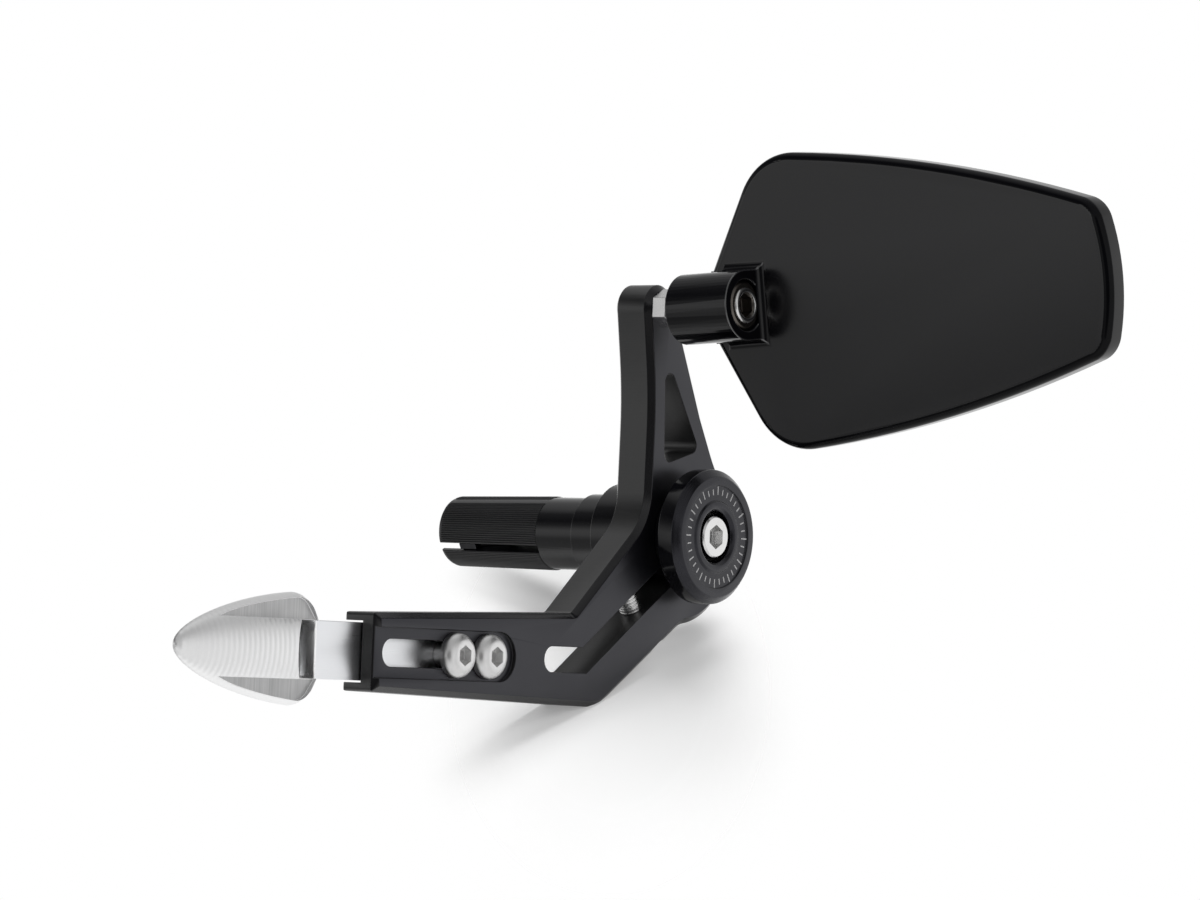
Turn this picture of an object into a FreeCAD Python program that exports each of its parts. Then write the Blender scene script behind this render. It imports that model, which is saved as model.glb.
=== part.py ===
import FreeCAD, Part
import math
import os
import Sketcher

# Lever guard with a bar-end mirror. X runs outboard along the handlebar, -Y points forward
# along the guard, Z is up, and the origin is where the handlebar's end face seats.

SIZES = [
    # Expanding plug that sits in the open handlebar
    ("sleeve_radius", 8.75, "smooth shoulder of the plug"),
    ("sleeve_tail_radius", 8.35, "free end of the fingers"),
    ("sleeve_length", 42.0, "plug from the bar end to its free end"),
    ("shoulder_length", 11.0, "smooth shoulder without slots"),
    ("shoulder_floor", 8.0, "thickness of the floor that takes the pull"),
    ("sleeve_throat_radius", 4.6, "bore behind the cone seat"),
    ("sleeve_mouth_radius", 7.2, "bore at the free end"),
    ("seat_start", 22.0, "small end of the cone seat, from the bar end"),
    ("seat_end", 35.0, "large end of the cone seat, from the bar end"),
    ("finger_slot", 2.0, "width of the slots between the fingers"),
    ("finger_turn", 29.0, "turn of the slots about the axis"),
    ("edge_break", 0.4, "small turned edge breaks"),
    # Bolt and the cone nut that it draws in
    ("bolt_radius", 3.0, "M6 thread"),
    ("bolt_hole_radius", 3.3, "clearance hole for M6"),
    ("bolt_length", 70.0, "under the head"),
    ("bolt_head_radius", 5.0, "M6 socket head"),
    ("bolt_head_height", 6.0, "M6 socket head"),
    ("bolt_socket", 5.0, "hex key across the flats"),
    ("socket_depth", 3.0, "depth of the hex sockets"),
    ("thread_fit", 0.05, "radial room between screw and thread"),
    ("cone_back_off", 1.5, "slack of the cone from its seat at rest"),
    ("cone_end", 36.0, "large end of the seated cone, from the bar end"),
    ("key_length", 5.0, "keys on the cone that ride in the slots"),
    ("key_room", 0.25, "room on each side of a key"),
    ("key_reach", 8.0, "keys from the axis"),
    # Rings and the hub
    ("seat_ring_radius", 9.7, "ring that meets the handlebar"),
    ("seat_ring_width", 8.0, "length of that ring"),
    ("spacer_radius", 12.3, "spacer between ring and arm"),
    ("barrel_radius", 10.0, "hub barrel inside the clamp"),
    ("clamp_fit", 0.05, "radial fit of the clamp on the barrel"),
    ("face_room", 0.1, "room on each face of the arm"),
    ("collar_radius", 11.5, "hub collar in front of the arm"),
    ("collar_width", 4.0, "length of the hub collar"),
    ("disc_radius", 16.0, "hub disc"),
    ("disc_width", 6.1, "hub disc"),
    ("disc_chamfer", 1.7, "bevel round the hub disc"),
    ("groove_outer", 12.2, "dial ring sunk into the disc"),
    ("groove_depth", 0.4, "depth of the dial ring"),
    ("boss_radius", 8.7, "boss round the bolt head"),
    ("boss_bevel", 1.5, "bevel inside the boss"),
    ("head_bore_radius", 6.15, "counterbore for the bolt head"),
    ("head_bore_depth", 7.4, "counterbore for the bolt head"),
    ("washer_width", 1.0, "washer under the bolt head"),
    ("washer_room", 0.25, "washer inside the counterbore"),
    # Arm plate
    ("arm_start", 17.0, "inboard face of the arm plate"),
    ("arm_width", 10.0, "thickness of the arm plate"),
    ("arm_bevel", 1.4, "bevel along the outboard edges"),
    ("arm_back_bevel", 0.8, "bevel along the inboard edges"),
    ("lobe_radius", 21.0, "clamp lobe round the bar axis"),
    ("guard_end", 111.6, "free end of the guard arm, forward of the axis"),
    ("guard_drop", 30.55, "centre line of the guard arm below the axis"),
    ("guard_end_height", 17.8, "guard arm at its free end"),
    ("guard_root_height", 21.8, "guard arm at its root"),
    ("guard_root", 40.5, "corner between guard arm and diagonal"),
    ("heel", 29.6, "lower corner of the guard arm"),
    ("heel_round", 9.0, "rounding of the lower corner"),
    ("bend_forward", 14.4, "front edge of the upright"),
    ("bend_height", 3.7, "bend from diagonal to upright"),
    ("bend_round", 14.0, "rounding of the bend"),
    ("waist_forward", 14.15, "narrowest place of the front edge"),
    ("waist_height", 33.0, "narrowest place of the front edge"),
    ("waist_round", 110.0, "curve of the front edge"),
    ("corner_round", 2.0, "tight corner at the guard arm's root"),
    ("stud_forward", 11.7, "ball stud, forward of the axis"),
    ("stud_height", 53.6, "ball stud above the axis"),
    ("head_radius", 5.6, "rounded top of the upright"),
    ("back_edge_forward", -6.0, "back edge of the upright, low point"),
    ("back_edge_height", 29.0, "back edge of the upright, low point"),
    ("lobe_join", 128.0, "angle at which the back edge meets the lobe"),
    ("lobe_blend", 25.0, "hollow where the back edge meets the lobe"),
    ("jaw_join", 266.0, "angle at which the lower jaw leaves the lobe"),
    ("jaw_blend", 6.0, "hollow where the lower jaw leaves the lobe"),
    # Weight-saving window in the upright
    ("window_top_forward", 9.8, "upper corner"),
    ("window_top_height", 43.8, "upper corner"),
    ("window_front_forward", 8.6, "front lower corner"),
    ("window_front_height", 16.7, "front lower corner"),
    ("window_back_forward", -4.9, "back lower corner"),
    ("window_back_height", 20.7, "back lower corner"),
    ("window_round", 2.0, "corner rounding"),
    # Clamp slit and its screw
    ("slit_width", 6.0, "bent slit that lets the clamp close"),
    ("slit_end", 48.3, "closed end, forward of the axis"),
    ("slit_angle", 34.6, "slope of the slanted stretch"),
    ("slit_offset", 4.55, "slanted stretch below the axis"),
    ("slit_reach", 3.0, "slit into the bore, short of the axis"),
    ("pinch_place", 20.8, "pinch screw along the slanted stretch"),
    ("pinch_radius", 2.5, "M5 thread"),
    ("pinch_head_radius", 4.25, "M5 socket head"),
    ("pinch_head_height", 5.0, "M5 socket head"),
    ("pinch_socket", 4.0, "hex key across the flats"),
    ("pinch_seat", 12.2, "head seat below the axis line of the slit"),
    ("pinch_length", 17.0, "under the head"),
    ("pinch_room", 0.25, "head in its counterbore"),
    # Channel and slot in which the guard tip slides
    ("channel_depth", 5.6, "channel from the inboard face"),
    ("channel_height", 13.9, "channel between its flanges"),
    ("channel_end", 62.0, "closed end of the channel"),
    ("recess_depth", 1.0, "sunk track for the screw heads"),
    ("recess_height", 11.4, "sunk track for the screw heads"),
    ("recess_end", 67.7, "centre of the track's round end"),
    ("slot_room", 0.15, "screws in the slot, on each side"),
    ("screw_front", 83.2, "front tip screw, forward of the axis"),
    ("screw_pitch", 11.5, "between the two tip screws"),
    ("tip_travel", 22.0, "how far the tip slides out"),
    ("button_radius", 5.25, "M6 button head"),
    ("button_height", 3.3, "M6 button head"),
    ("button_round", 2.6, "dome of the button head"),
    ("button_socket", 4.0, "hex key across the flats"),
    ("button_depth", 2.0, "depth of the hex socket"),
    ("button_length", 8.4, "under the head"),
    # Guard tip
    ("shank_width", 5.0, "flat shank in the channel"),
    ("shank_height", 13.0, "flat shank in the channel"),
    ("shank_room", 0.3, "shank from the channel floor"),
    ("shank_tail", 6.5, "shank behind the rear screw"),
    ("tip_nose", 170.7, "nose of the tip, forward of the axis"),
    ("tip_shoulder", 133.2, "widest place of the tip"),
    ("tip_corner", 130.4, "rear corner of the wings before rounding"),
    ("tip_back", 125.4, "where the tip meets its shank"),
    ("tip_height", 25.0, "tip at its widest"),
    ("tip_width", 15.0, "tip across the rib"),
    ("tip_wing_width", 4.4, "thickness of the wings at the pocket floors"),
    ("tip_rim", 1.1, "rim round the pockets"),
    ("ramp_start", 138.5, "start of the ramp from rib to shank"),
    ("ramp_end", 126.8, "end of that ramp"),
    ("ramp_hollow", 0.5, "how far the ramp is hollowed"),
    ("nose_fullness", 4.5, "how blunt the nose is"),
    ("flank_run", 20.0, "how long the flanks stay level towards the nose"),
    ("flank_fall", 1.6, "how far they fall over that run"),
    # Ball stud, its lock nut and the cups in the barrel
    ("ball_place", 41.0, "ball centre along the bar axis"),
    ("ball_radius", 4.6, "ball"),
    ("neck_radius", 2.2, "neck behind the ball"),
    ("neck_length", 9.5, "neck, from the ball centre"),
    ("stud_grip", 9.0, "stud thread inside the arm"),
    ("nut_flats", 8.0, "lock nut across the flats"),
    ("nut_width", 4.0, "lock nut"),
    ("cup_room", 0.05, "ball in its cups"),
    ("cup_radius", 5.65, "outside of the cups"),
    ("cup_gap", 1.0, "cups from the ball's middle"),
    ("cup_reach", 3.8, "cups along the axis"),
    # Mirror, in its own frame: along, up, and out of its back, from the ball centre
    ("mirror_tilt", 7.2, "mirror turned about the bar axis"),
    ("mirror_roll", 3.1, "mirror turned in its own plane"),
    ("housing_radius", 8.35, "barrel round the ball"),
    ("housing_start", 7.2, "barrel before the ball"),
    ("housing_end", 10.8, "barrel beyond the ball"),
    ("socket_mouth", 6.0, "mouth of the barrel"),
    ("socket_lip", 4.6, "lip that holds the cups"),
    ("socket_lip_place", 4.35, "lip before the ball"),
    ("socket_seat_place", 0.9, "end of the cup seat before the ball"),
    ("socket_radius", 6.1, "bore for cups and adjuster"),
    ("adjuster_room", 0.1, "adjuster in its thread"),
    ("adjuster_length", 4.2, "adjuster screw"),
    ("adjuster_sink", 0.3, "adjuster below the barrel's end"),
    ("adjuster_bevel", 0.9, "bevel of the adjuster"),
    ("adjuster_socket", 5.0, "hex key across the flats"),
    ("back_drop", 6.0, "back plate below the barrel axis"),
    ("plate_width", 6.0, "thickness of the mirror body"),
    ("rim_round", 2.0, "rounded edge of the back"),
    ("foot_round", 2.0, "fillet round the barrel's foot"),
    ("web_start", 0.5, "start of the web under the barrel"),
    ("plate_left", -5.0, "near end of the plate"),
    ("plate_left_half", 6.2, "half height of the near end"),
    ("shoulder_along", 11.6, "wide corner of the plate"),
    ("shoulder_half", 35.6, "half height at the wide corner"),
    ("shoulder_round", 16.0, "rounding of the wide corner"),
    ("far_along", 104.9, "far corner of the plate"),
    ("far_half", 17.4, "half height at the far corner"),
    ("far_round", 7.0, "rounding of the far corner"),
    ("long_edge_radius", 350.0, "bow of the long edges"),
    ("far_edge_radius", 54.0, "bow of the far edge"),
    ("glass_rim", 1.8, "rim round the glass"),
    ("glass_sink", 0.2, "glass below the rim"),
    ("glass_width", 2.0, "thickness of the glass"),
    ("pad_width", 0.5, "adhesive pad behind the glass"),
    ("glass_room", 0.2, "glass inside its rim"),
]

doc = FreeCAD.newDocument("lever_guard_mirror")
sheet = doc.addObject("Spreadsheet::Sheet", "sizes")
for row, (alias, number, note) in enumerate(SIZES, start=1):
    sheet.set(f"A{row}", note)
    sheet.set(f"B{row}", str(number))
    sheet.setAlias(f"B{row}", alias)
doc.recompute()

SIDE = "YZ_Plane"
SECTION = "XY_Plane"
FRONT = "XZ_Plane"
HALF_ROUND = "half round"
V = FreeCAD.Vector
X_AXIS = V(1, 0, 0)
Y_AXIS = V(0, 1, 0)
Z_AXIS = V(0, 0, 1)
TOUCH = 0.01
subparts = []


def size(alias):
    return float(sheet.get(alias))


def named(text):
    """Lets sizes be written by their bare names in an expression."""
    words = {alias for alias, _, _ in SIZES}
    out = ""
    word = ""
    for letter in text + " ":
        if letter.isalnum() or letter == "_":
            word += letter
            continue
        out += f"sizes.{word}" if word in words else word
        out += letter
        word = ""
    return out.strip()


def value(text):
    result = sheet.evalExpression(named(text))
    return float(getattr(result, "Value", result))


# Sketches whose every point is tied to named sizes

def body(label, kept=True):
    item = doc.addObject("PartDesign::Body", label)
    item.Label = label
    if kept:
        subparts.append(item)
    return item


def sketch_on(owner, role, lift="0", turn="0"):
    plane = next(item for item in owner.Origin.OriginFeatures if item.Role == role)
    sketch = owner.newObject("Sketcher::SketchObject", f"{owner.Name}_sketch")
    sketch.AttachmentSupport = [(plane, "")]
    sketch.MapMode = "FlatFace"
    sketch.AttachmentOffset = FreeCAD.Placement(V(0, 0, value(lift)), FreeCAD.Rotation(Z_AXIS, value(turn)))
    if lift != "0":
        sketch.setExpression("AttachmentOffset.Base.z", named(lift))
    return sketch


def tie(sketch, kind, geometry, point, text, axis):
    if text == "0":
        sketch.addConstraint(Sketcher.Constraint("PointOnObject", geometry, point, axis))
        return
    index = sketch.addConstraint(Sketcher.Constraint(kind, -1, 1, geometry, point, value(text)))
    sketch.setExpression(f"Constraints[{index}]", named(text))


def tie_point(sketch, geometry, point, across, up):
    tie(sketch, "DistanceX", geometry, point, across, -2)
    tie(sketch, "DistanceY", geometry, point, up, -1)


def outline(sketch, corners):
    """Closed outline through (across, up) corners, taken to the left. A third entry bows the edge that
    follows outwards: a radius, or HALF_ROUND for an upright edge."""
    count = len(corners)
    points = [V(value(corner[0]), value(corner[1]), 0) for corner in corners]
    ends = []
    for index, corner in enumerate(corners):
        start, end = points[index], points[(index + 1) % count]
        if len(corner) == 2:
            geometry = sketch.addGeometry(Part.LineSegment(start, end), False)
            ends.append((geometry, 1, 2))
            continue
        chord = end - start
        half_round = corner[2] == HALF_ROUND
        radius = chord.Length / 2 if half_round else value(corner[2])
        rise = radius - math.sqrt(max(radius ** 2 - chord.Length ** 2 / 4, 0.0))
        outward = V(chord.y, -chord.x, 0).normalize()
        middle = (start + end) * 0.5 + outward * rise
        arc = Part.Arc(start, middle, end)
        geometry = sketch.addGeometry(arc, False)
        turns_left = sketch.getPoint(geometry, 1).distanceToPoint(start) < TOUCH
        ends.append((geometry, 1, 2) if turns_left else (geometry, 2, 1))
        if half_round:
            tie(sketch, "DistanceX", geometry, 3, corner[0], -2)
            continue
        bow = sketch.addConstraint(Sketcher.Constraint("Radius", geometry, radius))
        sketch.setExpression(f"Constraints[{bow}]", named(corner[2]))
    for index in range(count):
        here, after = ends[index], ends[(index + 1) % count]
        sketch.addConstraint(Sketcher.Constraint("Coincident", here[0], here[2], after[0], after[1]))
    for index, corner in enumerate(corners):
        tie_point(sketch, ends[index][0], ends[index][1], corner[0], corner[1])
    return sketch


def ring(sketch, across, up, radius):
    circle = Part.Circle(V(value(across), value(up), 0), V(0, 0, 1), value(radius))
    geometry = sketch.addGeometry(circle, False)
    index = sketch.addConstraint(Sketcher.Constraint("Radius", geometry, value(radius)))
    sketch.setExpression(f"Constraints[{index}]", named(radius))
    tie_point(sketch, geometry, 3, across, up)
    return sketch


def hexagon(sketch, flats):
    corner = f"({flats}) / sqrt(3)"
    angles = [60 * side + 30 for side in range(6)]
    outline(sketch, [(f"{corner} * cos({angle})", f"{corner} * sin({angle})") for angle in angles])
    return sketch


def feature(owner, kind, profile, **settings):
    item = owner.newObject(f"PartDesign::{kind}", f"{owner.Name}_{kind.lower()}")
    item.Profile = profile
    for name, setting in settings.items():
        if isinstance(setting, str) and name == "Length":
            item.setExpression(name, named(setting))
        else:
            setattr(item, name, setting)
    doc.recompute()
    return item


def cut(owner, profile, **settings):
    before = owner.Shape.Volume
    item = feature(owner, "Pocket", profile, **settings)
    if not owner.Shape.Volume < before:
        raise RuntimeError(f"{item.Name} removes nothing")
    return item


def round_edges(owner, kind, names, amount):
    last = owner.Tip
    item = owner.newObject(f"PartDesign::{kind}", f"{owner.Name}_{kind.lower()}")
    item.Base = (last, names)
    item.setExpression("Radius" if kind == "Fillet" else "Size", named(amount))
    doc.recompute()
    if "Invalid" in item.State or "Error" in item.State or not names:
        raise RuntimeError(f"{item.Name} with {amount} fails on {names}")
    return item


def edges_where(shape, test):
    return [f"Edge{index}" for index, edge in enumerate(shape.Edges, start=1) if test(edge)]


def edges_along(shape, axis, *places):
    """Names of the edges that run along an axis through any of some places."""
    def fits(edge):
        ends = [vertex.Point for vertex in edge.Vertexes]
        return any(all((end - place).cross(axis).Length < TOUCH for end in ends) for place in places)
    return edges_where(shape, fits)


def face_outline(shape, axis, level):
    """Names of the outer edges of the largest flat face at a level along an axis."""
    def lies_level(face):
        return all(abs(corner.Point.dot(axis) - level) < TOUCH for corner in face.Vertexes)
    faces = [face for face in shape.Faces if lies_level(face)]
    outer = max(faces, key=lambda face: face.Area).OuterWire.Edges
    return edges_where(shape, lambda edge: any(edge.isSame(other) for other in outer))


def turned(label, section):
    """Piece turned about its own X axis, from (along, radius) corners."""
    item = body(label)
    profile = outline(sketch_on(item, SECTION), section)
    feature(item, "Revolution", profile, ReferenceAxis=(profile, ["H_Axis"]), Angle=360.0)
    return item


def socket(item, face, flats, depth, outward=True):
    """Hex socket sunk into a screw's end face; outward is the head that looks along +X."""
    profile = hexagon(sketch_on(item, SIDE, face), flats)
    cut(item, profile, Length=depth, Reversed=not outward)


def pattern(owner, original, profile, copies, angle):
    item = owner.newObject("PartDesign::PolarPattern", f"{owner.Name}_pattern")
    item.Originals = [original]
    item.Axis = (profile, ["N_Axis"])
    item.Angle = angle
    item.Occurrences = copies
    owner.Tip = item
    doc.recompute()
    return item


# Plug, bolt and cone

def expander_sleeve():
    item = turned("expander_sleeve", [
        ("0", "bolt_hole_radius"),
        ("0", "sleeve_radius"),
        ("-shoulder_length", "sleeve_radius"),
        ("edge_break - sleeve_length", "sleeve_tail_radius"),
        ("-sleeve_length", "sleeve_tail_radius - edge_break"),
        ("-sleeve_length", "sleeve_mouth_radius"),
        ("-seat_end", "sleeve_mouth_radius"),
        ("-seat_start", "sleeve_throat_radius"),
        ("-shoulder_floor", "sleeve_throat_radius"),
        ("-shoulder_floor", "bolt_hole_radius"),
    ])
    reach = "2 * sleeve_radius"
    profile = outline(sketch_on(item, SIDE, "-sleeve_length", "finger_turn"), [
        (f"-{reach}", "-finger_slot / 2"),
        (reach, "-finger_slot / 2"),
        (reach, "finger_slot / 2"),
        (f"-{reach}", "finger_slot / 2"),
    ])
    slot = cut(item, profile, Length="sleeve_length - shoulder_length", Reversed=True)
    pattern(item, slot, profile, 2, 180.0)
    return item


def expander_cone():
    """Cone nut, drawn as it lies off its seat, with keys that stop it turning."""
    slope = "(sleeve_mouth_radius - sleeve_throat_radius) / (seat_end - seat_start)"
    large = f"sleeve_mouth_radius - (seat_end + cone_back_off - cone_end) * {slope}"
    item = turned("expander_cone", [
        ("-seat_start - cone_back_off", "0"),
        ("-seat_start - cone_back_off", "sleeve_throat_radius"),
        ("-cone_end", large),
        ("-cone_end", "0"),
    ])
    reach = "key_reach"
    half = "finger_slot / 2 - key_room"
    profile = outline(sketch_on(item, SIDE, "-cone_end", "finger_turn"), [
        (f"-{reach}", f"-({half})"),
        (reach, f"-({half})"),
        (reach, half),
        (f"-{reach}", half),
    ])
    key = feature(item, "Pad", profile, Length="key_length")
    pattern(item, key, profile, 2, 180.0)
    bore = ring(sketch_on(item, SIDE, "-cone_end"), "0", "0", "bolt_radius + thread_fit")
    cut(item, bore, Type="ThroughAll", Midplane=True)
    return item


HUB_START = "seat_ring_width"
ARM_END = "arm_start + arm_width"
COLLAR_START = f"{ARM_END} + face_room"
DISC_START = f"{COLLAR_START} + collar_width"
DISC_FACE = f"{DISC_START} + disc_width"
HEAD_FLOOR = f"{DISC_FACE} - head_bore_depth"
HEAD_SEAT = f"{HEAD_FLOOR} + washer_width"


def seat_ring():
    return turned("seat_ring", [
        ("0", "bolt_hole_radius"),
        ("0", "seat_ring_radius - edge_break"),
        ("edge_break", "seat_ring_radius"),
        ("seat_ring_width", "seat_ring_radius"),
        ("seat_ring_width", "bolt_hole_radius"),
    ])


def clamp_spacer():
    bore = "barrel_radius + clamp_fit"
    return turned("clamp_spacer", [
        (HUB_START, bore),
        (HUB_START, "spacer_radius - edge_break"),
        (f"{HUB_START} + edge_break", "spacer_radius"),
        ("arm_start - face_room", "spacer_radius"),
        ("arm_start - face_room", bore),
    ])


def hub_weight():
    return turned("hub_weight", [
        (HUB_START, "bolt_hole_radius"),
        (HUB_START, "barrel_radius"),
        (COLLAR_START, "barrel_radius"),
        (COLLAR_START, "collar_radius"),
        (DISC_START, "collar_radius"),
        (DISC_START, "disc_radius - edge_break"),
        (f"{DISC_START} + edge_break", "disc_radius"),
        (f"{DISC_FACE} - disc_chamfer", "disc_radius"),
        (DISC_FACE, "disc_radius - disc_chamfer"),
        (DISC_FACE, "groove_outer"),
        (f"{DISC_FACE} - groove_depth", "groove_outer"),
        (f"{DISC_FACE} - groove_depth", "boss_radius"),
        (DISC_FACE, "boss_radius - groove_depth"),
        (DISC_FACE, "head_bore_radius + boss_bevel / 2"),
        (f"{DISC_FACE} - boss_bevel / 2", "head_bore_radius"),
        (HEAD_FLOOR, "head_bore_radius"),
        (HEAD_FLOOR, "bolt_hole_radius"),
    ])


def bolt_washer():
    return turned("bolt_washer", [
        (HEAD_FLOOR, "bolt_hole_radius"),
        (HEAD_FLOOR, "head_bore_radius - washer_room"),
        (HEAD_SEAT, "head_bore_radius - washer_room"),
        (HEAD_SEAT, "bolt_hole_radius"),
    ])


def expander_bolt():
    face = f"{HEAD_SEAT} + bolt_head_height"
    item = turned("expander_bolt", [
        (f"{HEAD_SEAT} - bolt_length", "0"),
        (f"{HEAD_SEAT} - bolt_length", "bolt_radius - edge_break"),
        (f"{HEAD_SEAT} - bolt_length + edge_break", "bolt_radius"),
        (HEAD_SEAT, "bolt_radius"),
        (HEAD_SEAT, "bolt_head_radius"),
        (f"{face} - edge_break", "bolt_head_radius"),
        (face, "bolt_head_radius - edge_break"),
        (face, "0"),
    ])
    socket(item, face, "bolt_socket", "socket_depth")
    return item


# Arm plate. Places on it are given forward of the axis and above it.

GUARD_TOP_END = "guard_end_height / 2 - guard_drop"
GUARD_TOP_ROOT = "guard_root_height / 2 - guard_drop"
GUARD_FOOT_END = "-guard_end_height / 2 - guard_drop"
GUARD_FOOT_ROOT = "-guard_root_height / 2 - guard_drop"
BEYOND_GUARD = "guard_end + arm_width"
SCREW_REAR = "screw_front - screw_pitch"
LOBE_JOIN = ("lobe_radius * cos(lobe_join)", "lobe_radius * sin(lobe_join)")
JAW_JOIN = ("lobe_radius * cos(jaw_join)", "lobe_radius * sin(jaw_join)")


def on_arm(forward, up):
    return (f"-({forward})", up)


def arm_point(forward, up):
    return V(0, -value(forward), value(up))


def along_slit(place, rise):
    """A place along the slanted stretch, from the axis towards the heel, and a rise across it."""
    forward = f"({place}) * cos(slit_angle) + ({rise}) * sin(slit_angle)"
    up = f"({rise}) * cos(slit_angle) - ({place}) * sin(slit_angle)"
    return forward, up


def slit_corner(level, rise):
    """Where a level edge of the slit meets the slanted edge at that rise."""
    place = f"(({rise}) * cos(slit_angle) - ({level})) / sin(slit_angle)"
    return on_arm(along_slit(place, rise)[0], level)


def tangent_to_head():
    """Angle at which the upright's back edge touches its rounded top."""
    across = size("stud_forward") - size("back_edge_forward")
    rise = size("stud_height") - size("back_edge_height")
    lean = math.degrees(math.atan2(across, rise))
    return lean - math.degrees(math.asin(size("head_radius") / math.hypot(across, rise)))


def guard_arm():
    item = body("guard_arm")
    turn = tangent_to_head()
    plate = outline(sketch_on(item, SIDE, "arm_start"), [
        on_arm("guard_end", GUARD_FOOT_END),
        on_arm("heel", GUARD_FOOT_ROOT),
        on_arm(*JAW_JOIN) + ("lobe_radius",),
        on_arm(*LOBE_JOIN),
        on_arm("back_edge_forward", "back_edge_height"),
        on_arm(f"stud_forward - head_radius * cos({turn})", f"stud_height + head_radius * sin({turn})"),
        on_arm("stud_forward + head_radius", "stud_height"),
        on_arm("waist_forward", "waist_height"),
        on_arm("bend_forward", "bend_height"),
        on_arm("guard_root", GUARD_TOP_ROOT),
        on_arm("guard_end", GUARD_TOP_END),
    ])
    feature(item, "Pad", plate, Length="arm_width")
    head = ring(sketch_on(item, SIDE, "arm_start"), *on_arm("stud_forward", "stud_height"), "head_radius")
    feature(item, "Pad", head, Length="arm_width")
    soften_arm(item)
    cut_clamp(item)
    cut_guard(item)
    return item


def soften_arm(item):
    corners = [
        ("guard_root", GUARD_TOP_ROOT, "corner_round"),
        ("bend_forward", "bend_height", "bend_round"),
        ("waist_forward", "waist_height", "waist_round"),
        ("heel", GUARD_FOOT_ROOT, "heel_round"),
        (*LOBE_JOIN, "lobe_blend"),
        (*JAW_JOIN, "jaw_blend"),
    ]
    for forward, up, amount in corners:
        round_edges(item, "Fillet", edges_along(item.Shape, X_AXIS, arm_point(forward, up)), amount)
    round_edges(item, "Chamfer", face_outline(item.Shape, X_AXIS, value(ARM_END)), "arm_bevel")
    round_edges(item, "Chamfer", face_outline(item.Shape, X_AXIS, value("arm_start")), "arm_back_bevel")


def cut_clamp(item):
    """Bore, bent slit, pinch screw hole and the window above them."""
    bore = ring(sketch_on(item, SIDE, ARM_END), "0", "0", "barrel_radius + clamp_fit")
    cut(item, bore, Type="ThroughAll")
    over = "slit_width / 2 - slit_offset"
    under = "-slit_width / 2 - slit_offset"
    slit = outline(sketch_on(item, SIDE, ARM_END), [
        on_arm(*along_slit("slit_reach", over)),
        slit_corner("slit_width / 2 - guard_drop", over),
        on_arm("slit_end", "slit_width / 2 - guard_drop") + (HALF_ROUND,),
        on_arm("slit_end", "-slit_width / 2 - guard_drop"),
        slit_corner("-slit_width / 2 - guard_drop", under),
        on_arm(*along_slit("slit_reach", under)),
    ])
    cut(item, slit, Type="ThroughAll")
    drill(item, "pinch_radius + thread_fit", "pinch_length + pinch_room", "-pinch_seat")
    drill(item, "pinch_head_radius + pinch_room", "lobe_radius", "-pinch_seat - lobe_radius")
    places = [(f"window_{name}_forward", f"window_{name}_height") for name in ("top", "front", "back")]
    window = outline(sketch_on(item, SIDE, ARM_END), [on_arm(*place) for place in places])
    cut(item, window, Type="ThroughAll")
    inside = [arm_point(*place) for place in places]
    round_edges(item, "Fillet", edges_along(item.Shape, X_AXIS, *inside), "window_round")


def pinch_frame(rise):
    """Place on the pinch screw's line, in the middle of the plate, and the line's direction."""
    forward, up = along_slit("pinch_place", rise)
    lean = math.radians(size("slit_angle"))
    middle = V(value("arm_start + arm_width / 2"), -value(forward), value(up))
    return middle, V(0, -math.sin(lean), math.cos(lean))


def drill(item, radius, length, rise):
    """Round hole along the pinch screw's line."""
    base, direction = pinch_frame(rise)
    before = item.Shape.Volume
    hole = item.newObject("PartDesign::SubtractiveCylinder", "guard_arm_drill")
    hole.Placement = FreeCAD.Placement(base, FreeCAD.Rotation(Z_AXIS, direction))
    hole.setExpression("Radius", named(radius))
    hole.setExpression("Height", named(length))
    doc.recompute()
    if not item.Shape.Volume < before:
        raise RuntimeError("the pinch screw's hole removes nothing")


def cut_guard(item):
    """Stud hole, and the channel, track and slot that carry the guard tip."""
    stud_place = on_arm("stud_forward", "stud_height")
    stud = ring(sketch_on(item, SIDE, ARM_END), *stud_place, "bolt_radius + thread_fit")
    cut(item, stud, Type="ThroughAll")
    channel = outline(sketch_on(item, SIDE, "arm_start"), [
        on_arm("channel_end", "channel_height / 2 - guard_drop"),
        on_arm(BEYOND_GUARD, "channel_height / 2 - guard_drop"),
        on_arm(BEYOND_GUARD, "-channel_height / 2 - guard_drop"),
        on_arm("channel_end", "-channel_height / 2 - guard_drop"),
    ])
    cut(item, channel, Length="channel_depth", Reversed=True)
    track = outline(sketch_on(item, SIDE, ARM_END), [
        on_arm("recess_end", "recess_height / 2 - guard_drop"),
        on_arm(BEYOND_GUARD, "recess_height / 2 - guard_drop"),
        on_arm(BEYOND_GUARD, "-recess_height / 2 - guard_drop"),
        on_arm("recess_end", "-recess_height / 2 - guard_drop") + (HALF_ROUND,),
    ])
    cut(item, track, Length="recess_depth")
    half = "bolt_radius + slot_room"
    slot = outline(sketch_on(item, SIDE, ARM_END), [
        on_arm(SCREW_REAR, f"{half} - guard_drop"),
        on_arm("screw_front + tip_travel", f"{half} - guard_drop") + (HALF_ROUND,),
        on_arm("screw_front + tip_travel", f"-({half}) - guard_drop"),
        on_arm(SCREW_REAR, f"-({half}) - guard_drop") + (HALF_ROUND,),
    ])
    cut(item, slot, Type="ThroughAll")


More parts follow.
